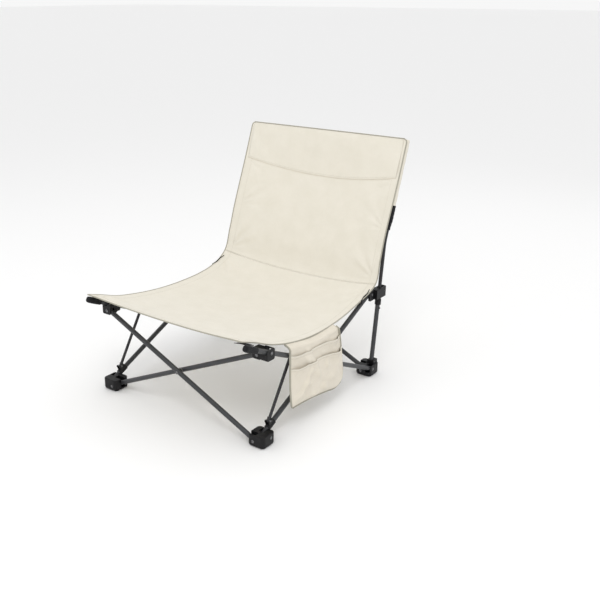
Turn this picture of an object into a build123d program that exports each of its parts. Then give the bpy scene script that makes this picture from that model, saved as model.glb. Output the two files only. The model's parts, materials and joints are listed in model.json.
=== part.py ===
from build123d import *
import os
from math import atan2, cos, degrees, hypot, radians, sin, tan

# Folding camp chair: four crossed pairs of tubes stand on a square, two poles carry the back.
# Millimetres, +Z up. The sitter faces -Y, and the sitter's left is +X, the side with the pocket.
# It is drawn about the middle of the square, then moved over the middle of its own box.

# ---- driving dimensions of the frame
HALF_PITCH = 327.0      # from the middle to the plane between the two tubes of each crossed pair
INSET = 18.0            # how far each tube's end pivot lies inside its corner
LAYER = 11.0            # from that plane to the axis of either tube
FOOT_Z = 27.0           # height of the pivots in the feet
HUB_Z = 309.0           # height of the pivots in the hubs
END_DROP = 9.0          # the front and back pairs' pivots lie this far below the side pairs'
TUBE_R = 8.0
TUBE_WALL = 1.2
TUBE_END = 8.4          # rounded end of a tube beyond its end pivot
TIP_REACH = 118.0       # side tube beyond its hub pivot, up to the seat's corner
PIN_R = 3.0
HOLE_R = 3.1
HEAD_R = 5.5
HEAD_SINK = 1.6

SPAN = 2 * (HALF_PITCH - INSET)
RISE = HUB_Z - FOOT_Z
TUBE_LENGTH = hypot(SPAN, RISE)
SLOPE = atan2(RISE, SPAN)
CROSS_Z = (FOOT_Z + HUB_Z) / 2

# ---- feet and hubs, in the corner's own axes: x and y outward, z up from the pivots
SLOT_HALF = TUBE_R + 0.6
SLOT_END = -INSET + TUBE_END + 0.6
SLOT_DEEP = 9.6
OUTER = 23.4
FOOT_INNER = -39.0
FOOT_TOP = 15.0
HUB_LOW = -22.0
HUB_HIGH = 14.0
HUB_INNER = -34.0
HUB_CHEEK = 21.8
BIG = 200.0

# ---- back poles: thick lower tube, thin upper tube with one bend
POLE_X = HALF_PITCH + 2.5
POLE_Y = HALF_PITCH + 2.5
POLE_Z = 46.0
POLE_R = 8.0
POLE_PIN_R = 2.5
UPPER_R = 6.35
LOWER_LEAN = radians(6.5)
UPPER_LEAN = radians(19.6)
BEND_Z = 485.0
BEND_RADIUS = 150.0
SHOULDER_Z = 285.0
POLE_TOP_Z = 818.0
EYE_FRONT = -9.6        # slot in the rear hub, from the pole's axis in the open chair
EYE_BACK = 26.5
EYE_HALF = 7.4
EYE_WALL = 5.5

# ---- side struts and their sliders
STRUT_UP = 179.5        # from the crossing to the strut's pin, along the front-rising tube
SLIDER_DOWN = 296.0     # from the crossing to the slider, along the rear-rising tube
EAR_RISE = 18.0         # the strut's lower pin above that tube's axis
STRUT_R = 5.0
SLIDER_R = 10.6
SLIDER_LENGTH = 34.0

# ---- cloth
CLOTH = 4.0
POCKET_X = 347.3
POCKET_OUT = 350.3

LEFT, RIGHT = 1, -1
REAR, FRONT = 1, -1
# Layer of each tube: +1 outside the plane of its pair, -1 inside. Every corner joins one of each.
TO_FRONT_LAYER = {LEFT: 1, RIGHT: -1}
TO_REAR_LAYER = {LEFT: -1, RIGHT: 1}
SIDE_NAME = {LEFT: "left", RIGHT: "right"}
END_NAME = {FRONT: "front", REAR: "rear"}

nodes = {}


def rod(start, end, radius):
    """A round bar from one point to another."""
    start, end = Vector(*start), Vector(*end)
    run = end - start
    place = Plane(origin=start, z_dir=run)
    return place * Cylinder(radius, run.length, align=(Align.CENTER, Align.CENTER, Align.MIN))


def block(x0, x1, y0, y1, z0, z1):
    """A box given by its faces."""
    shape = Box(x1 - x0, y1 - y0, z1 - z0)
    return Pos((x0 + x1) / 2, (y0 + y1) / 2, (z0 + z1) / 2) * shape


def along(start, end, distance):
    """The point at a distance from start towards end, negative for beyond start."""
    run = Vector(*end) - Vector(*start)
    point = Vector(*start) + run.normalized() * distance
    return point.X, point.Y, point.Z


def hollow(start, end, radius, wall):
    """A round tube, open at both ends."""
    inside = rod(along(start, end, -1), along(end, start, -1), radius - wall)
    return rod(start, end, radius) - inside


def round_end(tube, pivot, beyond, direction):
    """Rounds a tube's end about its end pivot, on the side that points beyond."""
    place = Plane(origin=pivot, x_dir=beyond, z_dir=direction)
    square = Pos(TUBE_END, 0, 0) * Box(2 * TUBE_END, 4 * TUBE_R, 4 * TUBE_R)
    return tube - place * (square - Cylinder(TUBE_END, 4 * TUBE_R))


def drilled(tube, points, direction):
    """A tube with a cross hole for a pin at each point."""
    half = Vector(*direction) * (TUBE_R + 4)
    for point in points:
        middle = Vector(*point)
        tube -= rod(tuple(middle - half), tuple(middle + half), HOLE_R)
    return tube


def rivet(start, end, head_start, head_end, head_height=1.5):
    """A pin with a low rounded head at either end, as asked."""
    shape = rod(start, end, PIN_R)
    for wanted, here, there in ((head_start, start, end), (head_end, end, start)):
        if wanted:
            head = rod(here, along(here, there, -head_height), HEAD_R)
            rim = head.edges().filter_by(GeomType.CIRCLE).sort_by_distance(Vector(*there))[-1]
            shape += fillet(rim, head_height * 0.6)
    return shape


# ------------------------------------------------------------------ crossed tubes

def side_ends(side, to_front):
    """Foot pivot and hub pivot of one side tube."""
    layer = TO_FRONT_LAYER[side] if to_front else TO_REAR_LAYER[side]
    x = side * (HALF_PITCH + layer * LAYER)
    low_y = (HALF_PITCH - INSET) * (REAR if to_front else FRONT)
    return (x, low_y, FOOT_Z), (x, -low_y, HUB_Z)


def end_ends(end, low_side):
    """Foot pivot and hub pivot of one tube of the front or back pair."""
    outside = 1 if low_side == LEFT * (1 if end == FRONT else -1) else -1
    y = end * (HALF_PITCH + outside * LAYER)
    low_x = low_side * (HALF_PITCH - INSET)
    return (low_x, y, FOOT_Z - END_DROP), (-low_x, y, HUB_Z - END_DROP)


def crossed_tube(low, high, direction, reach=TUBE_END, more=()):
    """One tube of a crossed pair, drilled at its two pivots and at the crossing."""
    start = along(low, high, -TUBE_END)
    end = along(high, low, -reach)
    middle = along(low, high, TUBE_LENGTH / 2)
    run = Vector(*high) - Vector(*low)
    tube = round_end(hollow(start, end, TUBE_R, TUBE_WALL), low, -run, direction)
    if reach == TUBE_END:
        tube = round_end(tube, high, run, direction)
    return drilled(tube, (low, middle, high, *more), direction)


def strut_points(side):
    """The strut's pin on the front-rising tube and its lower pin over the rear-rising tube."""
    strut_x = side * (HALF_PITCH + TO_REAR_LAYER[side] * LAYER)
    up = (strut_x, -STRUT_UP * cos(SLOPE), CROSS_Z + STRUT_UP * sin(SLOPE))
    low_y = -SLIDER_DOWN * cos(SLOPE) - EAR_RISE * sin(SLOPE)
    low_z = CROSS_Z - SLIDER_DOWN * sin(SLOPE) + EAR_RISE * cos(SLOPE)
    return up, (strut_x, low_y, low_z)


def make_tubes():
    """The eight tubes and, at each crossing, a rivet with a spacer between its two tubes."""
    for side in (LEFT, RIGHT):
        name = SIDE_NAME[side]
        low, high = side_ends(side, True)
        up = strut_points(side)[0]
        pin = (low[0], up[1], up[2])
        nodes[f"{name}_tube_rising_forward"] = crossed_tube(low, high, (1, 0, 0), TIP_REACH, (pin,))
        low, high = side_ends(side, False)
        nodes[f"{name}_tube_rising_back"] = crossed_tube(low, high, (1, 0, 0))
        nodes[f"{name}_crossing_rivet"] = crossing((side * HALF_PITCH, 0, CROSS_Z), (side, 0, 0), 0.8)
    for end in (FRONT, REAR):
        name = END_NAME[end]
        for low_side in (LEFT, RIGHT):
            low, high = end_ends(end, low_side)
            tube_name = f"{name}_tube_rising_{SIDE_NAME[-low_side]}"
            nodes[tube_name] = crossed_tube(low, high, (0, 1, 0))
        middle = (0, end * HALF_PITCH, CROSS_Z - END_DROP)
        nodes[f"{name}_crossing_rivet"] = crossing(middle, (0, end, 0), 1.5)


def crossing(middle, outward, outer_head):
    """Rivet through a crossed pair, and the ring that keeps its two tubes apart."""
    middle, outward = Vector(*middle), Vector(*outward)
    reach = LAYER + TUBE_R
    shape = rivet(tuple(middle - outward * (reach + 0.2)), tuple(middle + outward * reach), True, False)
    head = rod(tuple(middle + outward * reach), tuple(middle + outward * (reach + outer_head)), HEAD_R)
    ring_half = LAYER - TUBE_R - 0.15
    ring = rod(tuple(middle - outward * ring_half), tuple(middle + outward * ring_half), TUBE_R)
    bore = rod(tuple(middle - outward * LAYER), tuple(middle + outward * LAYER), HOLE_R)
    return [shape + head, ring - bore]


# ------------------------------------------------------------------ feet and hubs

def outer_is_side(side, end, height):
    """Whether the side tube is the outer one of the two that meet in a corner."""
    rises_forward = (end == REAR) == (height == FOOT_Z)
    return (TO_FRONT_LAYER[side] if rises_forward else TO_REAR_LAYER[side]) == 1


def corner_place(side, end, height):
    """Moves a shape from a corner's own axes to the chair. The corner's y is outward across the
    plane of its outer tube, and its x is outward along that tube."""
    across, lengthwise = Vector(side, 0, 0), Vector(0, end, 0)
    if not outer_is_side(side, end, height):
        across, lengthwise = lengthwise, across
    place = Plane(origin=(side * HALF_PITCH, end * HALF_PITCH, height), x_dir=lengthwise, z_dir=(0, 0, 1))
    mirrored = place.y_dir.dot(across) < 0

    def move(shape):
        if mirrored:
            shape = mirror(shape, Plane.XZ)
        return place * shape
    return move


def corner_heights(side, end, height):
    """Heights of the outer and the inner tube's pivot, measured from the side tube's."""
    return (0, -END_DROP) if outer_is_side(side, end, height) else (-END_DROP, 0)


def corner_pins(heights, inner, cheek, outer_x):
    """The two pivot pins of a corner, in its own axes."""
    outer_z, inner_z = heights
    first = rivet((-INSET, -6, outer_z), (-INSET, cheek, outer_z), False, True)
    second = rivet((inner, -INSET, inner_z), (outer_x, -INSET, inner_z), True, True)
    return [first, second]


def bored(shape, heights, cheek, inner, outer_x):
    """Holes for the two pins of a corner."""
    outer_z, inner_z = heights
    shape -= rod((-INSET, -6, outer_z), (-INSET, cheek + 5, outer_z), PIN_R)
    shape -= rod((inner - 5, -INSET, inner_z), (outer_x + 5, -INSET, inner_z), PIN_R)
    return shape


def end_slots(heights, low, high):
    """Room for the ends of a corner's two tubes, given above and below each pivot."""
    outer_z, inner_z = heights
    band = (LAYER - SLOT_HALF, LAYER + SLOT_HALF)
    first = block(-BIG, SLOT_END, *band, outer_z + low, outer_z + high)
    second = block(-band[1], -band[0], -BIG, SLOT_END, inner_z + low, inner_z + high)
    return first + second


def foot(side, end):
    """A moulded foot: a rounded block with a slot for each tube and its two pivot pins."""
    heights = corner_heights(side, end, FOOT_Z)
    body = block(FOOT_INNER, OUTER, FOOT_INNER, OUTER, -FOOT_Z, FOOT_TOP)
    body = fillet(body.edges().filter_by(Axis.Z), 13)
    body = fillet(body.faces().sort_by(Axis.Z)[0].edges(), 9)
    body = fillet(body.faces().sort_by(Axis.Z)[-1].edges(), 3)
    body -= end_slots(heights, -SLOT_DEEP, BIG)
    body = bored(body, heights, OUTER, FOOT_INNER, OUTER)
    cheek, inner = OUTER - HEAD_SINK, FOOT_INNER + HEAD_SINK
    outer_z, inner_z = heights
    body -= rod((-INSET, cheek, outer_z), (-INSET, OUTER + 5, outer_z), HEAD_R + 0.4)
    body -= rod((inner, -INSET, inner_z), (FOOT_INNER - 5, -INSET, inner_z), HEAD_R + 0.4)
    body -= rod((cheek, -INSET, inner_z), (OUTER + 5, -INSET, inner_z), HEAD_R + 0.4)
    move = corner_place(side, end, FOOT_Z)
    return move(body), [move(pin) for pin in corner_pins(heights, inner, cheek, cheek)]


def pole_socket(side):
    """The raised socket for a back pole on a rear foot, with its slot and pin hole."""
    x0, y0 = HALF_PITCH + SLOT_END + 0.05, HALF_PITCH + SLOT_END + 0.05
    tower = block(x0, HALF_PITCH + 17, y0, HALF_PITCH + 21, FOOT_Z - 12, POLE_Z + 9)
    tower = fillet(tower.edges().filter_by(Axis.Z), 1.9)
    tower = fillet(tower.faces().sort_by(Axis.Z)[-1].edges(), 1.5)
    half = POLE_R + 0.6
    well = block(POLE_X - half, POLE_X + half, POLE_Y - half - 0.4, POLE_Y + half + 4, POLE_Z - 12, BIG)
    pin = rod((x0 + 0.2, POLE_Y, POLE_Z), (HALF_PITCH + 17, POLE_Y, POLE_Z), POLE_PIN_R)
    return [flipped(part, side) for part in (tower, well, pin)]


def flipped(shape, side):
    """The shape itself on the left, its mirror image on the right."""
    return shape if side == LEFT else mirror(shape, Plane.YZ)


def make_feet():
    """Four feet with their pins; the rear two also hold the back poles."""
    for side in (LEFT, RIGHT):
        for end in (FRONT, REAR):
            name = f"{END_NAME[end]}_{SIDE_NAME[side]}"
            body, pins = foot(side, end)
            if end == REAR:
                tower, well, pin = pole_socket(side)
                body = body + tower - well - pin
                nodes[f"pole_pin_{SIDE_NAME[side]}"] = pin
            nodes[f"foot_{name}"] = body
            nodes[f"foot_pins_{name}"] = pins


def passing_slot(side):
    """The way through a front hub for its side tube, which runs on to the seat's corner. Its floor
    lies along the tube in the open chair, and its back wall clears the tube when it is folded."""
    reach = SLOT_DEEP
    floor = Vector(-INSET + reach * sin(SLOPE), -reach * cos(SLOPE))
    far = floor + Vector(cos(SLOPE), sin(SLOPE)) * BIG
    outline = Polyline((-INSET, 0), floor, far, (far.X, BIG), (-INSET - reach, BIG), (-INSET - reach, 0), close=True)
    face = make_face(Plane.XZ * outline)
    shape = extrude(face, SLOT_HALF, both=True)
    if outer_is_side(side, FRONT, HUB_Z):
        return Pos(0, LAYER, 0) * shape
    return Pos(-LAYER, 0, 0) * (Rot(0, 0, 90) * shape)


def hub(side, end):
    """A moulded hub at a top corner. The front ones let their side tube pass through."""
    heights = corner_heights(side, end, HUB_Z)
    outer_x = 2.4 if end == FRONT else 4.0
    inner_x = -LAYER - SLOT_HALF - 4.4
    body = block(HUB_INNER, outer_x, -9, HUB_CHEEK, HUB_LOW, HUB_HIGH)
    body = fillet(body.edges().filter_by(Axis.Y), 5)
    arm = block(inner_x, outer_x, HUB_INNER, -4, HUB_LOW, HUB_HIGH)
    body += fillet(arm.edges().filter_by(Axis.X), 5)
    body -= end_slots(heights, -BIG, SLOT_DEEP)
    if end == FRONT:
        body -= passing_slot(side)
    body = bored(body, heights, HUB_CHEEK, inner_x, outer_x)
    move = corner_place(side, end, HUB_Z)
    return move(body), [move(pin) for pin in corner_pins(heights, inner_x, HUB_CHEEK, outer_x)]


def pole_eye(side):
    """The rear hub's long eye round the back pole, and the slot through it."""
    middle_y = POLE_Y + (HUB_Z - POLE_Z) * tan(LOWER_LEAN)
    y0, y1 = middle_y + EYE_FRONT, middle_y + EYE_BACK
    half = EYE_HALF + EYE_WALL
    boss = block(POLE_X - half, POLE_X + half, HALF_PITCH - 4, y1 + EYE_WALL, HUB_Z + HUB_LOW, HUB_Z + HUB_HIGH)
    boss = fillet(boss.edges().filter_by(Axis.Z).group_by(Axis.Y)[-1], 9)
    boss = fillet(boss.faces().sort_by(Axis.Z)[-1].edges(), 2)
    slot = block(POLE_X - EYE_HALF, POLE_X + EYE_HALF, y0, y1, 0, 2 * HUB_Z)
    slot = fillet(slot.edges().filter_by(Axis.Z), 6)
    return flipped(boss, side), flipped(slot, side)


def make_hubs():
    """Four hubs with their pins."""
    for side in (LEFT, RIGHT):
        for end in (FRONT, REAR):
            name = f"{END_NAME[end]}_{SIDE_NAME[side]}"
            body, pins = hub(side, end)
            if end == REAR:
                boss, slot = pole_eye(side)
                slots = end_slots(corner_heights(side, REAR, HUB_Z), -BIG, SLOT_DEEP)
                body = body + (boss - corner_place(side, REAR, HUB_Z)(slots)) - slot
            nodes[f"hub_{name}"] = body
            nodes[f"hub_pins_{name}"] = pins


# ------------------------------------------------------------------ back poles

def pole_point(z):
    """The pole's axis at a height, without the rounding of its bend."""
    low = min(z, BEND_Z)
    y = POLE_Y + (low - POLE_Z) * tan(LOWER_LEAN) + (z - low) * tan(UPPER_LEAN)
    return POLE_X, y, z


def make_poles():
    """Lower tube, shoulder, upper tube, cap and snap button of each back pole."""
    for side in (LEFT, RIGHT):
        name = SIDE_NAME[side]
        foot_point, shoulder, top = pole_point(POLE_Z), pole_point(SHOULDER_Z), pole_point(POLE_TOP_Z)
        lower = hollow(along(foot_point, shoulder, -6), along(shoulder, foot_point, 6), POLE_R, TUBE_WALL)
        lower -= rod((POLE_X - 12, POLE_Y, POLE_Z), (POLE_X + 12, POLE_Y, POLE_Z), POLE_PIN_R + 0.1)
        collar = rod(along(shoulder, foot_point, 26), along(shoulder, foot_point, 6), POLE_R + 3)
        collar = fillet(collar.edges(), 1.5)
        collar += rod(along(shoulder, foot_point, 6), shoulder, POLE_R + 1.2)
        collar -= rod(along(shoulder, foot_point, 30), along(shoulder, foot_point, 5.9), POLE_R)
        collar -= rod(along(shoulder, foot_point, 8), along(shoulder, foot_point, -5), UPPER_R)
        path = FilletPolyline(pole_point(SHOULDER_Z - 5.9), pole_point(BEND_Z), top, radius=BEND_RADIUS)
        ring = Plane(origin=path @ 0, z_dir=path % 0) * (Circle(UPPER_R) - Circle(UPPER_R - TUBE_WALL))
        upper = sweep(ring, path)
        below = pole_point(POLE_TOP_Z - 9)
        cap = rod(below, along(top, below, -3), UPPER_R + 1)
        cap = fillet(cap.edges().filter_by(GeomType.CIRCLE).sort_by(Axis.Z)[-1], 3)
        cap -= rod(along(below, top, -1), top, UPPER_R)
        button_at = Vector(*along(shoulder, foot_point, 38))
        button = rod(tuple(button_at + Vector(POLE_R - 0.2, 0, 0)), tuple(button_at + Vector(POLE_R + 3, 0, 0)), 3.2)
        button = fillet(button.edges().filter_by(GeomType.CIRCLE).sort_by(Axis.X)[-1], 1.5)
        parts = {"pole_lower": lower, "pole_collar": collar, "pole_upper": upper, "pole_cap": cap}
        parts["pole_button"] = button - rod(foot_point, shoulder, POLE_R)
        for part_name, shape in parts.items():
            nodes[f"{part_name}_{name}"] = flipped(shape, side)


# ------------------------------------------------------------------ struts and sliders

def tube_frame(side):
    """Plane at the crossing with its x down the rear-rising tube and its z up across it."""
    x = side * (HALF_PITCH + TO_REAR_LAYER[side] * LAYER)
    down = Vector(0, -cos(SLOPE), -sin(SLOPE))
    up = Vector(0, -sin(SLOPE), cos(SLOPE))
    return Plane(origin=(x, 0, CROSS_Z), x_dir=down, z_dir=up)


def slider_shape():
    """A barrel on the tube with two ears, each notched from above for the strut's lower pin."""
    half = SLIDER_LENGTH / 2
    ear_in, ear_out, ear_top = STRUT_R + 0.6, STRUT_R + 3.4, EAR_RISE + 7
    barrel = rod((-half, 0, 0), (half, 0, 0), SLIDER_R)
    barrel = fillet(barrel.edges().filter_by(GeomType.CIRCLE), 1.5)
    shape = barrel
    for way in (-1, 1):
        y0, y1 = sorted((way * ear_in, way * ear_out))
        ear = block(-10, 10, y0, y1, 0, ear_top)
        ear = fillet(ear.edges().filter_by(Axis.Y).group_by(Axis.Z)[-1], 3)
        shape += ear
    seat = rod((0, -ear_out - 1, EAR_RISE), (0, ear_out + 1, EAR_RISE), PIN_R + 0.15)
    return shape, seat, ear_out


def notch(width):
    """The flared way out of the slider's ears: steep outward, slanting towards the crossing."""
    outline = Polyline((-3.15, 0), (-3.15 - 14 * tan(radians(40)), 14), (3.15 + 14 * tan(radians(16)), 14), (3.15, 0), close=True)
    face = make_face(Plane.XZ * outline)
    return Pos(0, 0, EAR_RISE) * extrude(face, width, both=True)


def make_struts():
    """Strut, its two pins and the slider that its foot rides on, on each side."""
    for side in (LEFT, RIGHT):
        name = SIDE_NAME[side]
        up, low = strut_points(side)
        strut_x = up[0]
        reach = 6.5
        strut = hollow(along(up, low, -reach), along(low, up, -6), STRUT_R, 1.0)
        for point in (up, low):
            strut -= rod((strut_x - 10, *point[1:]), (strut_x + 10, *point[1:]), HOLE_R)
        nodes[f"strut_{name}"] = strut
        ears, seat, ear_out = slider_shape()
        ears -= seat
        ears -= notch(ear_out + 2)
        ears -= rod((-BIG, 0, 0), (BIG, 0, 0), TUBE_R + 0.25)
        nodes[f"slider_{name}"] = tube_frame(side) * Pos(SLIDER_DOWN, 0, 0) * ears
        low_pin = rod((strut_x - ear_out, *low[1:]), (strut_x + ear_out, *low[1:]), PIN_R)
        nodes[f"strut_foot_pin_{name}"] = low_pin
        toward = TO_FRONT_LAYER[side] * side
        far_x = strut_x + toward * (2 * LAYER + TUBE_R)
        near_x = strut_x - toward * (STRUT_R + 0.2)
        pin = rivet((near_x, *up[1:]), (far_x, *up[1:]), True, False)
        ring_x = (strut_x + toward * (STRUT_R + 0.2), strut_x + toward * (2 * LAYER - TUBE_R - 0.05))
        ring = rod((ring_x[0], *up[1:]), (ring_x[1], *up[1:]), 6.5)
        ring -= rod((ring_x[0] - toward, *up[1:]), (ring_x[1] + toward, *up[1:]), PIN_R + 0.05)
        nodes[f"strut_head_pin_{name}"] = [pin, ring]


# ------------------------------------------------------------------ cloth and webbing

def sheet_panel(sections):
    """A sagging cloth panel through cross sections: (half width, edge y, edge z, middle y, middle z)."""
    faces = []
    for width, edge_y, edge_z, mid_y, mid_z in sections:
        sag = Vector(0, mid_y - edge_y, mid_z - edge_z).normalized() * CLOTH
        corners = [Vector(-width, edge_y, edge_z), Vector(0, mid_y, mid_z), Vector(width, edge_y, edge_z)]
        under = [corner + sag for corner in corners]
        top = ThreePointArc(*corners)
        low = ThreePointArc(*reversed(under))
        ends = [Line(corners[2], under[2]), Line(under[0], corners[0])]
        faces.append(Face(Wire([top, ends[0], low, ends[1]])))
    return loft(faces)


def make_cloth():
    """Seat, back, pole sleeves and side pocket, each a plain closed solid."""
    seat = [
        (290, -411, 361, -411, 357), (322, -320, 343, -318, 329), (326, -160, 314, -160, 289),
        (326, 0, 295, 0, 265), (326, 160, 299, 160, 264), (325, 265, 323, 266, 283),
        (322, 309, 345, 314, 307),
    ]
    nodes["seat_sling"] = sheet_panel(seat)
    back = [
        (320, 315, 354, 330, 316), (319, 343, 431, 370, 421), (317, 378, 514, 412, 508),
        (316, 420, 605, 453, 600), (316, 456, 700, 487, 696), (316, 492, 829, 508, 828),
    ]
    nodes["back_sling"] = sheet_panel(back)
    outline = Polyline((-218, 286), (-214, 155), (-186, 96), (-88, 80), (72, 62), (92, 92), (84, 138), (58, 284), (-74, 262), close=True)
    pocket = extrude(make_face(Plane.YZ * outline), POCKET_OUT - POCKET_X)
    nodes["side_pocket"] = Pos(POCKET_X, 0, 0) * pocket
    for side in (LEFT, RIGHT):
        name = SIDE_NAME[side]
        low, high = pole_point(520), pole_point(POLE_TOP_Z)
        end = along(high, low, -9.5)
        sleeve = rod(low, end, UPPER_R + 3) - rod(along(low, high, -1), along(end, low, 1.2), UPPER_R + 1.6)
        nodes[f"pole_sleeve_{name}"] = flipped(sleeve, side)
        nodes[f"corner_pocket_{name}"], nodes[f"tip_plug_{name}"] = seat_corner(side)
        nodes[f"hub_strap_{name}"] = hub_strap(side)


def seat_corner(side):
    """The webbing cup over the tip of a front-rising tube, its flap to the seat, and the tube's plug."""
    low, high = side_ends(side, True)
    tip = along(high, low, -TIP_REACH)
    inner = along(tip, low, 46)
    cup_end = along(tip, low, -7)
    cup = rod(inner, cup_end, TUBE_R + 2.4) - rod(along(inner, low, 2), along(tip, low, -4.6), TUBE_R + 0.4)
    flap_x = sorted((side * 300, side * (abs(tip[0]) - 2)))
    flap = block(*flap_x, tip[1], tip[1] + 22, tip[2] + 5, tip[2] + 8)
    axis_bore = rod(along(tip, low, 60), along(tip, low, -4.6), TUBE_R + 0.4)
    plug = rod(along(tip, low, 18), tip, TUBE_R - TUBE_WALL) + rod(tip, along(tip, low, -4), TUBE_R)
    return cup + (flap - axis_bore), plug


def hub_strap(side):
    """Webbing that ties the seat's edge to a rear hub."""
    strap = Box(2.0, 64, 14)
    strap = Rot(18, 0, 0) * strap
    return Pos(side * (HALF_PITCH + 4.5), 262, 322) * strap


def write_nodes():
    """Centres the chair over its own box, stands it on z = 0 and writes one file for each node."""
    shapes = {name: as_compound(value) for name, value in nodes.items()}
    whole = Compound(list(shapes.values()))
    box = whole.bounding_box()
    shift = Vector(-(box.min.X + box.max.X) / 2, -(box.min.Y + box.max.Y) / 2, -box.min.Z)
    os.makedirs("parts", exist_ok=True)
    for name, shape in shapes.items():
        export_step(Pos(shift) * shape, f"parts/{name}.step")
    print("moved by", shift, "box", box.size)
    print("tube length", TUBE_LENGTH, "slope in degrees", degrees(SLOPE))


def as_compound(value):
    """One compound of the separate solids of a node."""
    solids = []
    for shape in (value if isinstance(value, list) else [value]):
        solids += shape.solids()
    return solids[0] if len(solids) == 1 else Compound(solids)


make_tubes()
make_feet()
make_hubs()
make_poles()
make_struts()
make_cloth()
write_nodes()
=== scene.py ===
import json
import math

import bmesh
import bpy
import numpy as np
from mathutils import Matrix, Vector


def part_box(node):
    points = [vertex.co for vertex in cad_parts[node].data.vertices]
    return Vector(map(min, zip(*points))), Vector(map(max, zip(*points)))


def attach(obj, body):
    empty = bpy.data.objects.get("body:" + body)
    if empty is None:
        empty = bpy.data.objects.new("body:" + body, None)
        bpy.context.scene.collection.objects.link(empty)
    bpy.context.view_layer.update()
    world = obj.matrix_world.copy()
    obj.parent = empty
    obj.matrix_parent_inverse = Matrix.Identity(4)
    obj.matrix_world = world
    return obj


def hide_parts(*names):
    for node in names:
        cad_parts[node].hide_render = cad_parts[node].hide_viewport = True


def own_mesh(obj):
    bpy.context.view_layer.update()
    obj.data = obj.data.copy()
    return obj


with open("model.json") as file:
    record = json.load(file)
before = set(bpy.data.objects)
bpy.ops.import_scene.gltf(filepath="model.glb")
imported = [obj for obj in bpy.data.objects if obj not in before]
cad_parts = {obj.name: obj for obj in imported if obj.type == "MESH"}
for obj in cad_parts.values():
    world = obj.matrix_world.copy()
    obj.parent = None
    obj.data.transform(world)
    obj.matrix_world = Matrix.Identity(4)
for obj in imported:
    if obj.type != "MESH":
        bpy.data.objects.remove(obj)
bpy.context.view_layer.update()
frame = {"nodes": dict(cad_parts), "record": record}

# Folding camp chair. Metres; the sitter faces -Y and the sitter's left is +X, the pocket's side.
# MIDDLE_Y is the middle of the square of feet, from which the cloth's sections are measured.
MIDDLE_Y = (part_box("foot_front_left")[0][1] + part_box("foot_rear_left")[1][1]) / 2
HUB_OUT = 0.309                         # a hub's pivot, out from the middle; it is as high as it is far out
SEAT_SLOPE = math.radians(24.5277)      # of the side tubes that rise to the front, whose tips hold the seat
TIP_REACH = 0.118                       # from a front hub's pivot to the end of its seat tube
CLOTH_THICK = 0.0014
TOP_ROUND = 0.028                       # share of the back's length that its rounded upper corners take
STITCH_LENGTH, STITCH_GAP, STITCH_THICK = 0.0032, 0.0016, 0.00035
SEAT_BODY, BACK_BODY = "seat_cloth", "left_pole"


# ------------------------------------------------------------------ shader maths

class Wire:
    """One value in a material. Its operators add Math nodes, so shader maths reads as ordinary sums."""

    def __init__(self, tree, socket):
        self.tree, self.socket = tree, socket

    def maths(self, operation, *others, clamp=False):
        node = self.tree.nodes.new("ShaderNodeMath")
        node.operation, node.use_clamp = operation, clamp
        for slot, value in zip(node.inputs, (self, *others)):
            plug(self.tree, slot, value)
        return Wire(self.tree, node.outputs[0])

    def __add__(self, other):
        return self.maths("ADD", other)

    def __mul__(self, other):
        return self.maths("MULTIPLY", other)

    def __rsub__(self, other):
        return (self * -1) + other

    __radd__ = __add__
    __rmul__ = __mul__

    def kept(self):
        """The value held between 0 and 1."""
        return self.maths("ADD", 0.0, clamp=True)


def plug(tree, slot, value):
    """Links a wire to a slot, or sets the slot to a plain value."""
    if isinstance(value, Wire):
        tree.links.new(value.socket, slot)
    elif value is not None:
        slot.default_value = value


class Finish:
    """A material under construction: one Principled shader and whatever feeds it."""

    def __init__(self, name):
        self.material = bpy.data.materials.new(name)
        self.material.use_nodes = True
        self.tree = self.material.node_tree
        self.shader = self.tree.nodes["Principled BSDF"]

    def node(self, kind, out=0, settings=(), **values):
        """Any node: its type, its settings, which are set first, and its sockets' values or links."""
        made = self.tree.nodes.new(kind)
        for key, value in dict(settings).items():
            setattr(made, key, value)
        for key, value in values.items():
            plug(self.tree, made.inputs[key.replace("_", " ")], value)
        return Wire(self.tree, made.outputs[out])

    def place(self, uv=False):
        """Where the point is: on the object in metres, or on its UV map."""
        return self.node("ShaderNodeTexCoord", out=2 if uv else 3)

    def woven(self):
        """Where the point is on the UV map, then its distances across and along the cloth."""
        at = self.place(uv=True)
        split = self.tree.nodes.new("ShaderNodeSeparateXYZ")
        plug(self.tree, split.inputs[0], at)
        return at, Wire(self.tree, split.outputs[0]), Wire(self.tree, split.outputs[1])

    def noise(self, where, scale, detail=3.0, rough=0.55):
        return self.node("ShaderNodeTexNoise", Vector=where, Scale=scale, Detail=detail, Roughness=rough)

    def ramp(self, factor, stops):
        """A smooth change between colours, given as (position, grey or colour)."""
        made = self.tree.nodes.new("ShaderNodeValToRGB")
        marks = made.color_ramp.elements
        for index, (position, colour) in enumerate(stops):
            mark = marks[index] if index < 2 else marks.new(position)
            mark.position = position
            mark.color = (*colour, 1.0)
        plug(self.tree, made.inputs[0], factor)
        return Wire(self.tree, made.outputs[0])

    def blend(self, factor, first, second):
        """Mixes two colours."""
        made = self.tree.nodes.new("ShaderNodeMix")
        made.data_type = "RGBA"
        for slot, value in zip((made.inputs[0], made.inputs[6], made.inputs[7]), (factor, first, second)):
            plug(self.tree, slot, value)
        return Wire(self.tree, made.outputs[2])

    def bump(self, height, distance, strength=1.0):
        made = self.node("ShaderNodeBump", Height=height, Distance=distance, Strength=strength)
        plug(self.tree, self.shader.inputs["Normal"], made)

    def set(self, **values):
        for key, value in values.items():
            plug(self.tree, self.shader.inputs[key.replace("_", " ")], value)
        return self.material


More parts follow.
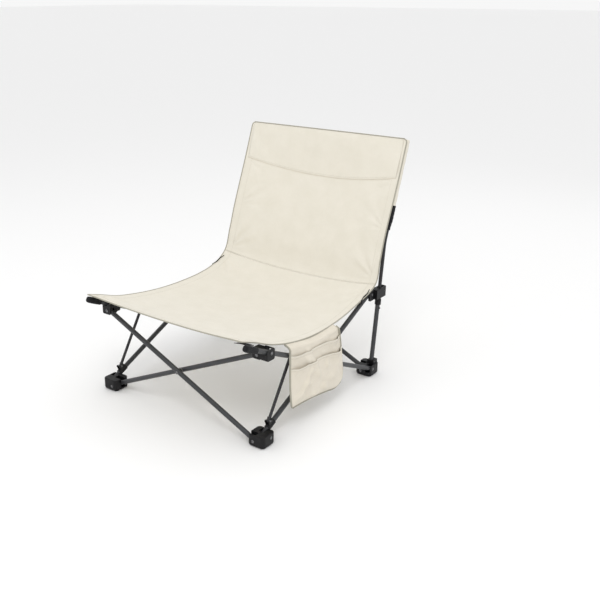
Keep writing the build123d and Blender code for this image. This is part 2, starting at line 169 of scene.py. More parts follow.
def rgb(red, green, blue):
    """Screen colour, 0 to 255, to linear light with alpha."""
    share = np.array([red, green, blue]) / 255
    return (*np.where(share < 0.04045, share / 12.92, ((share + 0.055) / 1.055) ** 2.4).tolist(), 1.0)


def powder_coat(name, dark, light, rough):
    """Satin powder coat: fine orange peel and a faint random mottling of its colour and gloss."""
    f = Finish(name)
    at = f.place()
    peel = f.noise(at, 900.0, 2.0)
    cloud = f.noise(at, 22.0, 4.0)
    f.bump(peel, 0.00012, 0.6)
    colour = f.blend(f.ramp(cloud, [(0.3, (0, 0, 0)), (0.75, (1, 1, 1))]), dark, light)
    return f.set(Base_Color=colour, Roughness=cloud * 0.16 + rough, Metallic=0.15, Coat_Weight=0.12,
                 Coat_Roughness=0.35)


def moulded(name, dark, light, rough):
    """Moulded black plastic: spark-eroded grain, with slightly paler scuffs."""
    f = Finish(name)
    at = f.place()
    grain = f.noise(at, 1500.0, 2.0, 0.7)
    scuff = f.ramp(f.noise(at, 60.0, 6.0, 0.7), [(0.52, (0, 0, 0)), (0.78, (1, 1, 1))])
    f.bump(grain, 0.00010, 0.8)
    return f.set(Base_Color=f.blend(scuff, dark, light), Roughness=scuff * 0.15 + rough,
                 Specular_IOR_Level=0.28)


def steel_head(name):
    """Blackened steel with a worn, brighter crown."""
    f = Finish(name)
    at = f.place()
    worn = f.ramp(f.noise(at, 240.0, 5.0, 0.65), [(0.35, (0, 0, 0)), (0.7, (1, 1, 1))])
    f.bump(f.noise(at, 1800.0, 2.0), 0.00006, 0.5)
    colour = f.blend(worn, rgb(70, 70, 72), rgb(150, 150, 152))
    return f.set(Base_Color=colour, Metallic=0.9, Roughness=worn * 0.15 + 0.3)


def canvas(name, main, shade):
    """Plain woven canvas on the UV map in metres: over-and-under threads, slubs and a soft mottling."""
    f = Finish(name)
    at, across, lengthwise = f.woven()
    thread_pitch = 0.0009
    turn = 2 * math.pi / thread_pitch
    weft = (across * turn).maths("SINE")
    warp = (lengthwise * turn).maths("SINE")
    weave = (weft * warp) * 0.5 + (weft + warp) * 0.2
    slub = f.noise(f.node("ShaderNodeMapping", Vector=at, Scale=(60.0, 900.0, 1.0)), 1.0, 2.0)
    slub_two = f.noise(f.node("ShaderNodeMapping", Vector=at, Scale=(900.0, 60.0, 1.0)), 1.0, 2.0)
    mottle = f.noise(at, 16.0, 5.0, 0.6)
    f.bump(weave + slub * 0.8 + slub_two * 0.8, 0.00022, 0.55)
    tone = f.ramp(mottle * 0.6 + (slub + slub_two) * 0.2, [(0.3, (0, 0, 0)), (0.72, (1, 1, 1))])
    return f.set(Base_Color=f.blend(tone, shade, main), Roughness=0.9 - weave * 0.05, Sheen_Weight=0.25,
                 Sheen_Roughness=0.5, Specular_IOR_Level=0.25)


def ribbed(name, dark, light, pitch=0.0022):
    """Woven webbing or binding on the UV map: ribs across the band and a fine twill."""
    f = Finish(name)
    at, across, lengthwise = f.woven()
    rib = (lengthwise * (2 * math.pi / pitch)).maths("SINE")
    twill = ((lengthwise + across) * (2 * math.pi / (pitch * 0.6))).maths("SINE")
    fuzz = f.noise(at, 700.0, 3.0)
    f.bump(rib * 0.7 + twill * 0.4 + fuzz * 0.6, 0.00025, 0.7)
    return f.set(Base_Color=f.blend((rib * 0.25 + fuzz).kept(), dark, light), Roughness=0.82,
                 Sheen_Weight=0.08, Specular_IOR_Level=0.2)


tube_grey = powder_coat("tube_grey", rgb(46, 47, 50), rgb(59, 60, 63), 0.38)
tube_black = powder_coat("tube_black", rgb(28, 28, 31), rgb(40, 40, 43), 0.42)
black_moulding = moulded("black_moulding", rgb(13, 13, 15), rgb(33, 33, 35), 0.5)
rivet_steel = steel_head("rivet_steel")
cream_canvas = canvas("cream_canvas", rgb(229, 224, 212), rgb(220, 215, 201))
cream_pocket = canvas("cream_pocket", rgb(228, 221, 207), rgb(216, 208, 192))
edge_binding = ribbed("edge_binding", rgb(150, 147, 134), rgb(186, 182, 168))
black_webbing = ribbed("black_webbing", rgb(15, 15, 17), rgb(34, 34, 37))
seam_thread = ribbed("seam_thread", rgb(176, 170, 154), rgb(206, 200, 184), 0.0008)


# ------------------------------------------------------------------ surfaces

def smooth(points, at):
    """A smooth line through points: a cubic between each two, its slope at a point taken from the
    two neighbours, walked at an even pace from 0 to 1."""
    points = np.asarray(points, float)
    step = np.linalg.norm(np.diff(points, axis=0), axis=1)
    length = np.concatenate([[0], np.cumsum(step)])
    slope = np.gradient(points, length, axis=0)
    target = np.clip(np.asarray(at, float), 0, 1) * length[-1]
    i = np.clip(np.searchsorted(length, target, side="right") - 1, 0, len(points) - 2)
    h = (length[i + 1] - length[i])[..., None]
    t = ((target - length[i]) / h[..., 0])[..., None]
    return ((2 * t**3 - 3 * t**2 + 1) * points[i] + (t**3 - 2 * t**2 + t) * h * slope[i]
            + (3 * t**2 - 2 * t**3) * points[i + 1] + (t**3 - t**2) * h * slope[i + 1])


def ramp(value, start, end):
    """A soft step from 0 at start to 1 at end."""
    t = np.clip((value - start) / (end - start), 0, 1)
    return t * t * (3 - 2 * t)


def normals_of(grid):
    """Unit normal of a grid of points: the cross product of its two directions of travel."""
    normal = np.cross(np.gradient(grid, axis=0), np.gradient(grid, axis=1))
    return normal / np.maximum(np.linalg.norm(normal, axis=-1, keepdims=True), 1e-12)


def make_piece(name, points, faces, material, uv):
    """A mesh object from whole arrays: points, four-cornered faces and a UV for each corner."""
    mesh = bpy.data.meshes.new(name)
    mesh.from_pydata(points.reshape(-1, 3).tolist(), [], faces.tolist())
    layer = mesh.uv_layers.new(name="metres")
    corner = np.empty(len(mesh.loops), dtype=np.int32)
    mesh.loops.foreach_get("vertex_index", corner)
    layer.data.foreach_set("uv", uv.reshape(-1, 2)[corner].astype(np.float32).ravel())
    mesh.polygons.foreach_set("use_smooth", np.ones(len(mesh.polygons), dtype=bool))
    mesh.materials.append(material)
    mesh.update()
    piece = bpy.data.objects.new(name, mesh)
    bpy.context.scene.collection.objects.link(piece)
    return piece


def grid_faces(rows, columns, close_columns=False):
    """Faces of a grid of points, joined round where asked."""
    i, j = np.arange(rows - 1), np.arange(columns if close_columns else columns - 1)
    i, j = (a.ravel() for a in np.meshgrid(i, j, indexing="ij"))
    row, next_row, next_j = i * columns, (i + 1) * columns, (j + 1) % columns
    return np.stack([row + j, next_row + j, next_row + next_j, row + next_j], axis=1)


def metres_uv(grid):
    """Lengths along the two directions of a grid, averaged, so that a weave keeps its true size."""
    along = np.linalg.norm(np.diff(grid, axis=0), axis=-1)
    across = np.linalg.norm(np.diff(grid, axis=1), axis=-1)
    u = np.concatenate([[0], np.cumsum(across.mean(axis=0))])
    v = np.concatenate([[0], np.cumsum(along.mean(axis=1))])
    return np.stack(np.broadcast_arrays(u[None, :], v[:, None]), axis=-1)


def rows_at(grid, down):
    """Points of a grid at fractional rows: each column is walked to its own share of the way down."""
    last = len(grid) - 1
    row = down * last
    low = np.clip(np.floor(row).astype(int), 0, last - 1)
    part = (row - low)[..., None]
    column = np.arange(grid.shape[1])[None] + 0 * low
    return grid[low, column] * (1 - part) + grid[low + 1, column] * part


def cloth_piece(name, grid, material, thick=CLOTH_THICK):
    """A sheet with a real thickness: the grid, and the same grid moved along its normals, joined
    round their four edges."""
    rows, columns = grid.shape[:2]
    normal = normals_of(grid)
    outer, inner = grid + normal * thick / 2, grid - normal * thick / 2
    count = rows * columns
    top = grid_faces(rows, columns)
    low = top[:, ::-1] + count
    rim = np.concatenate([np.arange(columns), np.arange(1, rows) * columns + columns - 1,
                          (rows - 1) * columns + np.arange(columns - 2, -1, -1),
                          np.arange(rows - 2, 0, -1) * columns])
    after = np.roll(rim, -1)
    wall = np.stack([rim, after, after + count, rim + count], axis=1)
    uv = metres_uv(grid).reshape(-1, 2)
    return make_piece(name, np.concatenate([outer.reshape(-1, 3), inner.reshape(-1, 3)]),
                      np.concatenate([top, low, wall]), material, np.concatenate([uv, uv]))


def frames_along(path):
    """Direction of travel along a path, and two directions square to it that turn as little as they can."""
    way = np.gradient(path, axis=0)
    way /= np.linalg.norm(way, axis=1, keepdims=True)
    side = np.zeros_like(path)
    first = np.cross(way[0], (0, 0, 1.0) if abs(way[0][2]) < 0.9 else (1.0, 0, 0))
    side[0] = first / np.linalg.norm(first)
    for k in range(1, len(path)):
        turned = side[k - 1] - way[k] * np.dot(side[k - 1], way[k])
        side[k] = turned / np.linalg.norm(turned)
    return way, side, np.cross(way, side)


def bar_points(path, wide, high, around, power):
    """A profile carried along a path: at each station a rounded oblong, on which |x/wide|^power plus
    |y/high|^power is 1, with its ends drawn in to a point so that the shape is closed."""
    way, side, up = frames_along(path)
    angle = np.linspace(0, 2 * np.pi, around, endpoint=False)
    c, s = np.cos(angle), np.sin(angle)
    x = np.sign(c) * np.abs(c) ** (2 / power)
    y = np.sign(s) * np.abs(s) ** (2 / power)
    wide, high = np.broadcast_to(wide, len(path)), np.broadcast_to(high, len(path))
    ring = (path[:, None] + side[:, None] * (x[None] * wide[:, None])[..., None]
            + up[:, None] * (y[None] * high[:, None])[..., None])
    first, last = (np.repeat(end, around, axis=1) for end in (path[:1, None], path[-1:, None]))
    return np.concatenate([first, ring, last])


def bar_piece(name, path, wide, high, material, around, power=2.0):
    """A closed bar or cord along a path, from the profile above."""
    path = np.asarray(path, float)
    ring = bar_points(path, wide, high, around, power)
    run = np.concatenate([[0], np.cumsum(np.linalg.norm(np.diff(path, axis=0), axis=1))])
    v = np.concatenate([[run[0]], run, [run[-1]]])
    u = np.arange(around) / around * float(np.mean(wide)) * 6.28
    uv = np.stack(np.broadcast_arrays(u[None, :], v[:, None]), axis=-1)
    faces = grid_faces(len(ring), around, close_columns=True)
    piece = make_piece(name, ring, faces, material, uv)
    weld(piece)
    return piece


def weld(piece):
    """Merges the points of drawn-in ends and turns every face outwards."""
    work = bmesh.new()
    work.from_mesh(piece.data)
    bmesh.ops.remove_doubles(work, verts=work.verts, dist=1e-6)
    bmesh.ops.recalc_face_normals(work, faces=work.faces)
    work.to_mesh(piece.data)
    work.free()


def stitches(name, path, normal):
    """A line of stitches: short rounded threads laid end to end along a path, each a six-sided spindle
    of five rings bedded on the cloth. One array holds them all."""
    sides, rings = 6, 5
    each, last = sides * rings, sides * (rings - 1)
    path, normal = np.asarray(path, float), np.asarray(normal, float)
    run = np.concatenate([[0], np.cumsum(np.linalg.norm(np.diff(path, axis=0), axis=1))])
    count = max(1, int(run[-1] / (STITCH_LENGTH + STITCH_GAP)))
    start = (np.arange(count) + 0.5) * run[-1] / count
    share = np.array([-0.5, -0.35, 0.0, 0.35, 0.5]) * STITCH_LENGTH
    fat = np.array([0.15, 0.8, 1.0, 0.8, 0.15]) * STITCH_THICK
    at = start[:, None] + share[None]
    centre = np.stack([np.interp(at, run, path[:, k]) for k in range(3)], axis=-1)
    out = np.stack([np.interp(at, run, normal[:, k]) for k in range(3)], axis=-1)
    way = centre[:, -1] - centre[:, 0]
    way /= np.linalg.norm(way, axis=-1, keepdims=True)
    side = np.cross(way[:, None], out)
    angle = np.arange(sides) / sides * 2 * np.pi
    ring = (centre[:, :, None] + side[:, :, None] * (np.cos(angle) * fat[:, None])[None, ..., None]
            + out[:, :, None] * (np.sin(angle) * fat[:, None])[None, ..., None])
    thread = grid_faces(rings, sides, close_columns=True)
    ends = np.array([[3, 2, 1, 0], [5, 4, 3, 0], [last, last + 1, last + 2, last + 3],
                     [last, last + 3, last + 4, last + 5]])
    points = ring.reshape(-1, 3)
    faces = [(one[None] + np.arange(count)[:, None, None] * each).reshape(-1, 4) for one in (thread, ends)]
    piece = make_piece(name, points, np.concatenate(faces), seam_thread, points[:, :2])
    weld(piece)
    return piece


# ------------------------------------------------------------------ the sling's shape

def section(values):
    """Points given as (y from the middle of the feet, z) in millimetres, in metres in the chair's frame."""
    values = np.asarray(values, float) / 1000
    return values + np.array([MIDDLE_Y, 0])


LEFT_EDGE = section([(-415, 374), (-361, 355), (-288, 324), (-200, 298), (-74, 278), (60, 278), (155, 290),
                     (225, 308), (280, 327), (312, 348), (341, 428), (369, 514), (405, 605), (443, 700),
                     (490, 828)])
RIGHT_EDGE = section([(-415, 374), (-361, 357), (-288, 332), (-200, 314), (-74, 298), (60, 294), (147, 298),
                      (224, 309), (280, 327), (312, 348), (341, 428), (369, 514), (405, 605), (443, 700),
                      (490, 828)])
MIDDLE = section([(-411, 362), (-361, 343), (-288, 318), (-200, 296), (-74, 271), (60, 260), (160, 263),
                  (235, 274), (285, 292), (324, 320), (368, 421), (408, 508), (448, 600), (482, 696),
                  (503, 826)])
HALF_WIDTH = np.array([0.322, 0.325, 0.326, 0.327, 0.328, 0.328, 0.328, 0.331, 0.336, 0.339, 0.337, 0.336,
                       0.336, 0.336, 0.335])
FRONT, CREASE, TOP = 0, 9, 14           # the seat's front section, the one it shares with the back, the top


def sling(first, last, rows, columns, ripple, top_round=0.0):
    """The cloth between two sections. Across the chair it is an arc from edge to edge, which at a share u
    of the half width is 1 - |u|^2.2 of the way down to the middle line; along it follows the smooth edge
    and middle lines. Ripple, in metres, moves the points along the normal."""
    u = np.linspace(-1, 1, columns)[None, :]
    v = np.linspace(0, 1, rows)[:, None]
    whole = [np.column_stack([HALF_WIDTH, line]) for line in (LEFT_EDGE, RIGHT_EDGE, MIDDLE)]
    left, right, middle = (between(line, first, last, v[:, 0]) for line in whole)
    edge = np.where(u[..., None] > 0, left[:, None], right[:, None])
    inner = middle[:, None] + 0 * edge
    share = (1 - np.abs(u) ** 2.2)[..., None]
    soft = ramp(np.abs(u), 0.0, 0.25)[..., None]
    mean = (left[:, None] + right[:, None]) / 2
    edge = mean + (edge - mean) * soft
    yz = edge[..., 1:] + (inner[..., 1:] - edge[..., 1:]) * share
    wide = left[:, None, 0] * np.ones_like(u)
    end = ramp_round(v, top_round)
    x = (wide - 0.014 * end) * u
    grid = np.concatenate([x[..., None], yz], axis=-1)
    lift = ripple(u + 0 * v, v + 0 * u, grid[..., 0], grid[..., 1] - MIDDLE_Y, grid[..., 2])
    return grid + normals_of(grid) * lift[..., None]


def ramp_round(v, share):
    """How far a rounded corner draws the edge in over the last share of the length: a quarter circle."""
    t = np.clip((v - (1 - share)) / max(share, 1e-6), 0, 1) if share else 0 * v
    return 1 - np.sqrt(1 - np.clip(t, 0, 0.985) ** 2)


def between(line, first, last, v):
    """Part of a smooth line, from one of its listed points to another."""
    run = np.concatenate([[0], np.cumsum(np.linalg.norm(np.diff(line, axis=0), axis=1))])
    low, high = run[first] / run[-1], run[last] / run[-1]
    return smooth(line, low + (high - low) * v)


def fold_lines(x, y, corner, angle, spread, pitch, reach, depth):
    """Folds that fan out of a corner: waves across the direction angle, dying away within reach."""
    dx, dy = x - corner[0], y - corner[1]
    along = dx * math.cos(angle) + dy * math.sin(angle)
    across = -dx * math.sin(angle) + dy * math.cos(angle)
    far = np.hypot(dx, dy)
    turn = np.arctan2(across, np.maximum(along, 1e-4))
    fan = np.cos(turn * pitch) * np.exp(-(turn / spread) ** 2)
    return depth * fan * ramp(far, 0.004, 0.05) * np.exp(-far / reach) * (along > 0)


def seat_ripple(u, v, x, y, z):
    """Slow swells from a tight warp, fans of folds at the two front corners and at the rear hubs,
    and a small roll along the front hem."""
    swell = 0.0011 * np.sin(9 * u + 2.2 * np.sin(5 * v)) * np.sin(np.pi * v) + 0.0007 * np.sin(17 * v + 3 * u)
    fans = 0
    for side in (-1, 1):
        front, rear = (side * 0.322, -0.415), (side * 0.325, 0.30)
        fans = fans + fold_lines(x, y, front, math.radians(90 + side * 38), 0.75, 11, 0.14, 0.0042)
        fans = fans + fold_lines(x, y, rear, math.radians(-90 - side * 42), 0.7, 10, 0.10, 0.0034)
    roll = -0.0020 * np.exp(-((v - 0.018) / 0.012) ** 2)
    return (swell + fans + roll) * ramp(1 - np.abs(u), 0, 0.05)


def back_ripple(u, v, x, y, z):
    """Slow swells, fans of folds at the lower corners and at the foot of each pole sleeve."""
    swell = 0.0010 * np.sin(8 * u + 1.7 * np.sin(6 * v)) * np.sin(np.pi * v) + 0.0006 * np.sin(13 * v - 4 * u)
    fans = 0
    for side in (-1, 1):
        low, foot, high = (side * 0.322, 0.36), (side * 0.32, 0.53), (side * 0.32, 0.69)
        fans = fans + fold_lines(x, z, low, math.radians(90 + side * 40), 0.7, 11, 0.13, 0.0040)
        fans = fans + fold_lines(x, z, foot, math.radians(90 + side * 62), 0.6, 12, 0.10, 0.0028)
        fans = fans + fold_lines(x, z, high, math.radians(-90 - side * 55), 0.6, 12, 0.08, 0.0026)
    return (swell + fans) * ramp(1 - np.abs(u), 0, 0.05)


def gathers(piece):
    """Gives the piece its own copy of its mesh."""
    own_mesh(piece)


def head_band_grid(first=0.735, last=0.996, rows=60, columns=120, fine_rows=400):
    """The head band, a second layer over the top of the back, between two shares of the back's length.
    Its lower seam sags as 1 - u^2. It stands off the back in a low arch that is caught at both seams,
    with slow waves, and with one raised and one sunk fold near its right end."""
    b = np.linspace(0, 1, rows)[:, None]
    u = np.linspace(-1, 1, columns)[None]
    sagged = np.clip(first + (last - first) * b - 0.050 * (1 - b) ** 2 * (1 - u**2), 0, 1)
    under = rows_at(sling(CREASE, TOP, fine_rows, columns, back_ripple, TOP_ROUND), sagged)
    puff = 0.0016 + 0.0048 * np.sin(np.pi * b) ** 0.7 * (1 - u**4)
    puff = puff + 0.0011 * np.sin(14 * u + 5 * b) * np.sin(np.pi * b)
    puff = puff + 0.0026 * np.exp(-((u + 0.86 + 0.10 * b) / 0.03) ** 2) * b**0.5
    puff = puff - 0.0022 * np.exp(-((u + 0.78 + 0.16 * b) / 0.03) ** 2) * np.sin(np.pi * b)
    out = normals_of(under)
    out = out * -np.sign(np.mean(out[..., 1]))
    return (under + out * puff[..., None])[:, 2:-2]


seat_grid = sling(FRONT, CREASE, 150, 120, seat_ripple)
seat = cloth_piece("sewn_seat", seat_grid, cream_canvas)
back_grid = sling(CREASE, TOP, 150, 120, back_ripple, TOP_ROUND)
back = cloth_piece("sewn_back", back_grid, cream_canvas)
band_grid = head_band_grid()
band = cloth_piece("head_band", band_grid, cream_canvas, 0.0012)


def edge_frame(grid, index, along_rows=True):
    """One line of a grid and the cloth's normal on it, turned to face the sitter."""
    normal = normals_of(grid)
    line = grid[:, index] if along_rows else grid[index]
    out = normal[:, index] if along_rows else normal[index]
    return line, out * np.where(out[:, 2:3] - out[:, 1:2] < 0, -1, 1)


def binding(name, grid, index, radius, along_rows=True):
    """The tape that is folded over one edge of a grid."""
    return bar_piece(name, edge_frame(grid, index, along_rows)[0], radius, radius, edge_binding, 10)


def seam(name, grid, index, along_rows=True, lift=0.0008):
    """A row of stitches along one line of a grid, on the sitter's side."""
    line, out = edge_frame(grid, index, along_rows)
    return stitches(name, line + out * lift, out)


seat_edges, back_edges = [], []
for side_name, edge, inward in (("right", 0, 5), ("left", -1, -6)):
    for cloth_name, grid, trim in (("seat", seat_grid, seat_edges), ("back", back_grid, back_edges)):
        trim.append(binding(f"{cloth_name}_binding_{side_name}", grid, edge, 0.0021))
        trim.append(seam(f"{cloth_name}_stitching_{side_name}", grid, inward))
seat_edges.append(binding("seat_binding_front", seat_grid, 0, 0.0022, False))
seat_edges.append(seam("seat_stitching_front", seat_grid, 6, False))
back_edges.append(binding("back_binding_top", back_grid, -1, 0.0022, False))
hem_line = edge_frame(band_grid, 0, False)[0]
back_edges.append(bar_piece("head_band_hem", hem_line, 0.0011, 0.0009, cream_pocket, 8))
back_edges.append(seam("head_band_stitching", band_grid, 2, False, 0.0009))
back_edges.append(seam("crease_stitching", back_grid, 1, False, 0.0009))

for piece in (seat, *seat_edges):
    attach(piece, SEAT_BODY)
    gathers(piece)
for piece in (back, band, *back_edges):
    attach(piece, BACK_BODY)
    gathers(piece)
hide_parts("seat_sling")
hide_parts("back_sling")


def flat_size(grid):
    """Width and length over a grid's surface, each where it is largest, and its area."""
    long = np.linalg.norm(np.diff(grid, axis=0), axis=-1).sum(axis=0)
    wide = np.linalg.norm(np.diff(grid, axis=1), axis=-1).sum(axis=1)
    cells = np.cross(grid[1:, :-1] - grid[:-1, :-1], grid[:-1, 1:] - grid[:-1, :-1])
    size = (round(float(wide.max()), 3), round(float(long.max()), 3))
    return size, min(float(np.linalg.norm(cells, axis=-1).sum()), size[0] * size[1])


CUPS, POLES = ["corner_pocket_left", "corner_pocket_right"], ["pole_upper_left", "pole_upper_right"]
for piece, grid, rests in ((seat, seat_grid, CUPS), (back, back_grid, POLES), (band, band_grid, POLES)):
    size, area = flat_size(grid)

# ------------------------------------------------------------------ side pocket


def coons(top, bottom, front, rear, rows, columns):
    """A surface patch between four lines: the two pairs of opposite lines blended across, less the
    patch of straight lines between the four corners."""
    a, b = np.linspace(0, 1, columns), np.linspace(0, 1, rows)
    top, bottom = smooth(top, a)[None], smooth(bottom, a)[None]
    front, rear = smooth(front, b)[:, None], smooth(rear, b)[:, None]
    a, b = a[None, :, None], b[:, None, None]
    corners = ((1 - a) * (1 - b) * top[:, :1] + a * (1 - b) * top[:, -1:]
               + (1 - a) * b * bottom[:, :1] + a * b * bottom[:, -1:])
    return (1 - b) * top + b * bottom + (1 - a) * front + a * rear - corners


POCKET_TOP = section([(-218, 300), (-150, 287), (-74, 276), (0, 275), (58, 279)])
POCKET_LOW = section([(-203, 84), (-150, 82), (-88, 77), (-10, 66), (50, 58), (76, 65)])
POCKET_FRONT = section([(-218, 300), (-216, 230), (-213, 155), (-207, 104), (-203, 84)])
POCKET_REAR = section([(58, 279), (74, 210), (85, 145), (91, 100), (89, 80), (76, 65)])
POCKET_X = float(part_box("side_pocket")[0][0])
SEAT_EDGE_X = 0.3275                    # where the pocket's cloth leaves the seat's edge


def bulge(a, centre, width):
    """One fold across the pocket: a bell curve about its centre line."""
    return np.exp(-((a - centre) / width) ** 2)


def pocket_layer(first, out, gape, rows=70, columns=80):
    """One layer of the pocket from a share of its height down to its hem. It leaves the seat's edge over
    the tube, hangs flat, and swells as a sine across, more below, with slack folds that run down from its
    mouth. The folds only stand outwards, and are the same in every layer, so that they nest."""
    flat = coons(POCKET_TOP, POCKET_LOW, POCKET_FRONT, POCKET_REAR, 160, columns)
    a = np.linspace(0, 1, columns)[None]
    mouth = first + (0.022 * np.sin(2 * np.pi * a * 1.1 + 0.5) if first > 0 else 0 * a)
    b = mouth + (1 - mouth) * np.linspace(0, 1, rows)[:, None]
    yz = rows_at(flat, b)
    edge = ramp(a, 0, 0.10) * ramp(1 - a, 0, 0.10) * ramp(1 - b, 0, 0.10)
    hang = SEAT_EDGE_X + (POCKET_X + 0.0010 - SEAT_EDGE_X) * ramp(b, -0.004, 0.052)
    swell = (0.0065 * np.sin(np.pi * a) ** 0.8 * ramp(b, 0.15, 0.7)) * edge
    slack = 0.0040 * np.sin(13 * a + 7 * b + 1.8 * np.sin(8 * b))
    slack = slack + 0.0020 * np.sin(31 * b - 9 * a + 2 * np.sin(6 * a))
    slack = slack + 0.0050 * np.sin(27 * a - 9 * b) * bulge(a, 0.5, 0.22)
    low, lower, lean = ramp(b, 0.30, 0.42), ramp(b, 0.40, 0.55), 0.16 * (b - 0.4)
    pucker = -0.0110 * bulge(a + lean, 0.60, 0.035) * low * ramp(1 - b, 0.10, 0.42)
    pucker = pucker + 0.0075 * bulge(a + lean, 0.68, 0.04) * low * ramp(1 - b, 0.15, 0.5)
    pucker = pucker + 0.0065 * bulge(a + 0.55 * b, 0.62, 0.030) * lower * ramp(1 - b, 0.06, 0.3)
    pucker = pucker - 0.0045 * bulge(a + 0.55 * b, 0.70, 0.040) * lower * ramp(1 - b, 0.06, 0.3)
    pucker = pucker + 0.0045 * bulge(a - 0.3 * b, 0.22, 0.028) * ramp(b, 0.16, 0.30) * ramp(1 - b, 0.35, 0.6)
    folds = slack + pucker
    folds = 0.5 * (folds + np.sqrt(folds**2 + 0.0022**2))
    x = hang + out * ramp(1 - b, 0, 0.03) + swell + folds * edge * ramp(b, 0.06, 0.2)
    if first > 0:
        since = np.clip((b - mouth) / 0.16, 0, 1)
        x = x + gape * (1 - since) ** 2 * (0.55 + 0.45 * np.sin(2 * np.pi * a * 1.3 + 0.8)) * edge
    return np.concatenate([x[..., None], yz], axis=-1)


panel_grid = pocket_layer(0.0, 0.0, 0.0, 90)
upper_grid = pocket_layer(0.155, 0.0030, 0.006)
lower_grid = pocket_layer(0.355, 0.0060, 0.009)
panel = cloth_piece("pocket_panel", panel_grid, cream_pocket, 0.0010)
upper = cloth_piece("pocket_upper_pouch", upper_grid, cream_pocket, 0.0010)
lower = cloth_piece("pocket_lower_pouch", lower_grid, cream_pocket, 0.0010)
outline = np.concatenate([panel_grid[:, 0], panel_grid[-1, 1:], panel_grid[-2::-1, -1]])
outline = smooth(outline[::3], np.linspace(0, 1, 260))
outline[:, 0] += 0.0030
pocket_trim = [bar_piece("pocket_binding", outline, 0.0021, 0.0036, edge_binding, 10)]
for name, grid in (("upper", upper_grid), ("lower", lower_grid)):
    pocket_trim.append(bar_piece(f"pocket_{name}_lip", grid[0], 0.0012, 0.0016, cream_canvas, 8))
    out = np.tile(np.array([[1.0, 0, 0]]), (grid.shape[1], 1))
    pocket_trim.append(stitches(f"pocket_{name}_stitching", grid[3] + out * 0.0007, out))
for piece in (panel, upper, lower, *pocket_trim):
    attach(piece, "left_forward_tube")
    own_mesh(piece)
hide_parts("side_pocket")
for piece, grid in ((panel, panel_grid), (upper, upper_grid), (lower, lower_grid)):
    size, area = flat_size(grid)

# ------------------------------------------------------------------ pole sleeves, cups and straps


def pole_line(side, low, high, count):
    """The pole's axis between two heights: straight, then leaning back more above its bend."""
    x = side * (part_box("pole_upper_left")[0][0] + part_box("pole_upper_left")[1][0]) / 2
    foot_y, foot_z, bend_z = MIDDLE_Y + 0.3295, 0.046, 0.485
    z = np.linspace(low, high, count)
    lean_low, lean_high = math.tan(math.radians(6.5)), math.tan(math.radians(19.6))
    soft = 0.5 * ((z - bend_z) + np.sqrt((z - bend_z) ** 2 + 0.012**2))
    y = foot_y + (z - foot_z) * lean_low + soft * (lean_high - lean_low)
    return np.column_stack([np.full(count, x), y, z])


def pole_sleeve(side, name):
    """The cloth casing over a back pole, its seam, and the black cuff at its foot."""
    path = pole_line(side, 0.590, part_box(f"pole_cap_{name}")[1][2] + 0.0006, 150)
    share = np.linspace(0, 1, len(path))
    width = 0.0097 + 0.0003 * np.sin(share * 31 + 2 * np.sin(share * 7))
    width = width + 0.0002 * np.sin(share * 83 + side)
    width = width * np.sqrt(np.clip(1 - ramp(share, 0.965, 1.02) ** 2, 0.25, 1))
    width[:3] *= np.array([0.93, 0.98, 1.0])
    sleeve = bar_piece(f"sleeve_{name}", path, width, width * 1.06, cream_canvas, 26, 2.2)
    cuff_path = pole_line(side, 0.525, 0.606, 40)
    cuff_share = np.linspace(0, 1, len(cuff_path))
    cuff_width = 0.0079 + 0.0026 * ramp(cuff_share, 0.0, 0.5) + 0.0003 * np.sin(cuff_share * 40)
    cuff = bar_piece(f"sleeve_cuff_{name}", cuff_path, cuff_width, cuff_width * 1.1, black_webbing, 24, 2.4)
    seam_path = path[4:-8] + np.array([side * -0.0006, 0.0108, 0])
    seam_line = stitches(f"sleeve_stitching_{name}", seam_path, np.tile([[0, 1.0, 0]], (len(seam_path), 1)))
    for piece in (sleeve, cuff, seam_line):
        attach(piece, f"{name}_pole")
    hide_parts(f"pole_sleeve_{name}")


def corner_cup(side, name):
    """The cup over a seat tube's tip: an oblong webbing tube, closed at its end, with a folded flap."""
    way = np.array([0, -math.cos(SEAT_SLOPE), math.sin(SEAT_SLOPE)])
    plug_low, plug_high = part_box(f"tip_plug_{name}")
    tip = np.array([(plug_low[0] + plug_high[0]) / 2, MIDDLE_Y - HUB_OUT, HUB_OUT]) + TIP_REACH * way
    t = np.linspace(-0.050, 0.0072, 60)
    share = (t - t[0]) / (t[-1] - t[0])
    width = 0.0095 + 0.0006 * np.sin(share * 3.1) + 0.0003 * np.sin(share * 60)
    width = width * np.sqrt(np.clip(1 - ramp(share, 0.90, 1.03) ** 2, 0.12, 1))
    cup = bar_piece(f"corner_cup_{name}", tip + t[:, None] * way, width, width * 1.05, black_webbing, 26, 2.6)
    u = np.linspace(0, 1, 24)[None, :, None]
    v = np.linspace(0, 1, 16)[:, None, None]
    root = tip + np.array([side * -0.004, 0.004, 0.0088])
    corner = np.array([side * 0.286, MIDDLE_Y - 0.4065, 0.3595])
    lift = 0.0016 * np.sin(np.pi * u) - 0.0010 * np.sin(3 * np.pi * v) * u
    flap_grid = root + (corner - root) * u + np.array([side * -0.002, 0.040, -0.0150]) * v
    flap_grid = flap_grid + np.array([0, 0, 1.0]) * lift
    flap = cloth_piece(f"corner_flap_{name}", flap_grid, black_webbing, 0.0018)
    for piece in (cup, flap):
        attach(piece, f"{name}_forward_tube")
    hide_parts(f"corner_pocket_{name}")
    size, area = flat_size(flap_grid)


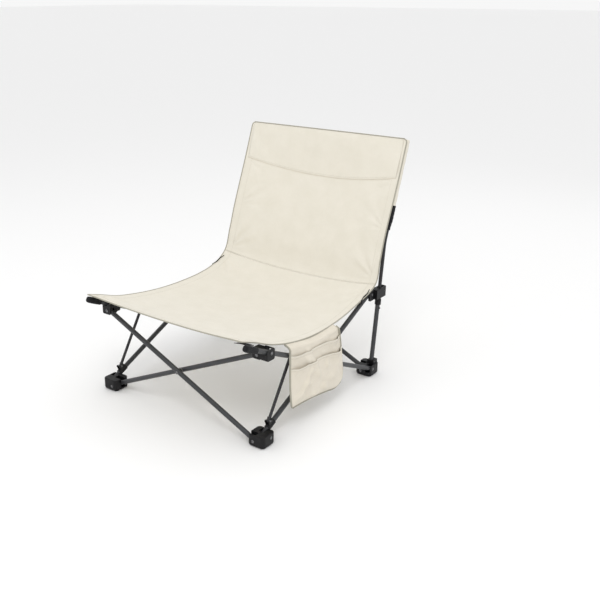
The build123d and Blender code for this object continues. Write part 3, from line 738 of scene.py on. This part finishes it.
def hub_webbing(side, name):
    """The webbing strap from a rear hub to the seat's edge, bent in a slight wave and cupped."""
    low, high = (np.array(corner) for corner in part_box(f"hub_strap_{name}"))
    centre = (low + high) / 2 + np.array([0, 0, -0.007])
    u = np.linspace(-1, 1, 40)[:, None, None]
    v = np.linspace(-1, 1, 14)[None, :, None]
    grid = (centre + np.array([side * -0.0016, 0.033, 0.0108]) * u + np.array([0, -0.0026, 0.0078]) * v
            + np.array([side, 0, 0]) * (0.0013 * np.sin(5 * u) - 0.0008 * v**2))
    strap = cloth_piece(f"hub_webbing_{name}", grid, black_webbing, 0.0017)
    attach(strap, f"rear_{name}_hub")
    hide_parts(f"hub_strap_{name}")
    flat_size(grid)[0]


for side, name in ((1, "left"), (-1, "right")):
    pole_sleeve(side, name)
    corner_cup(side, name)
    hub_webbing(side, name)

# ------------------------------------------------------------------ finishes of the frame

FINISH_BY_SLOT = {"frame_tube": tube_grey, "strut_tube": tube_black, "moulding": black_moulding,
                  "rivet": rivet_steel, "spacer": black_moulding, "cloth": cream_canvas,
                  "webbing": black_webbing}
slot_of = {part["node"]: part["material_slot"] for part in frame["record"]["subparts"]}
for node_name, node in frame["nodes"].items():
    finish = FINISH_BY_SLOT[slot_of[node_name]]
    if not node.material_slots:
        node.data.materials.append(finish)
    for holder in node.material_slots:
        holder.material = finish

# ------------------------------------------------------------------ studio

FLOOR_HALF = 60
floor_corners = [(FLOOR_HALF * x, FLOOR_HALF * y, 0) for x, y in ((-1, -1), (1, -1), (1, 1), (-1, 1))]
floor_mesh = bpy.data.meshes.new("studio_floor")
floor_mesh.from_pydata(floor_corners, [], [(0, 1, 2, 3)])
floor = bpy.data.objects.new("studio_floor", floor_mesh)
bpy.context.scene.collection.objects.link(floor)
f = Finish("studio_white")
floor_mesh.materials.append(f.set(Base_Color=(0.93, 0.93, 0.93, 1), Roughness=0.8, Specular_IOR_Level=0.1))


def softbox(name, place, target, size, power, tint=(1, 1, 1)):
    """A large square lamp that points at a target."""
    lamp = bpy.data.lights.new(name, "AREA")
    lamp.shape, lamp.size, lamp.energy, lamp.color = "SQUARE", size, power, tint
    holder = bpy.data.objects.new(name, lamp)
    holder.location = place
    holder.rotation_euler = (Vector(target) - Vector(place)).to_track_quat("-Z", "Y").to_euler()
    bpy.context.scene.collection.objects.link(holder)


softbox("key", (1.2, -1.9, 2.8), (0, 0, 0.35), 1.2, 22, (1.0, 0.99, 0.975))
softbox("fill", (-2.6, -1.2, 1.9), (0, 0, 0.4), 2.6, 4)
softbox("top", (0.0, 0.3, 3.4), (0, 0, 0.3), 3.0, 8)
softbox("rear", (0.6, 2.8, 2.2), (0, 0.1, 0.5), 2.4, 4)
world = bpy.data.worlds.new("studio_air")
bpy.context.scene.world = world
world.use_nodes = True
background = world.node_tree.nodes["Background"]
background.inputs["Color"].default_value = (1, 1, 1, 1)
background.inputs["Strength"].default_value = 0.93

camera_data = bpy.data.cameras.new("camera")
camera = bpy.data.objects.new("camera", camera_data)
camera.location = (1.6643, -2.1028 + MIDDLE_Y, 1.3076)
camera.rotation_euler = (math.radians(90 - 20.492), 0, math.radians(37.548))
camera_data.sensor_width = 36
camera_data.lens = 49.71
camera_data.shift_x = 0.0758
bpy.context.scene.collection.objects.link(camera)
bpy.context.scene.camera = camera
bpy.context.scene.view_settings.view_transform = "Standard"
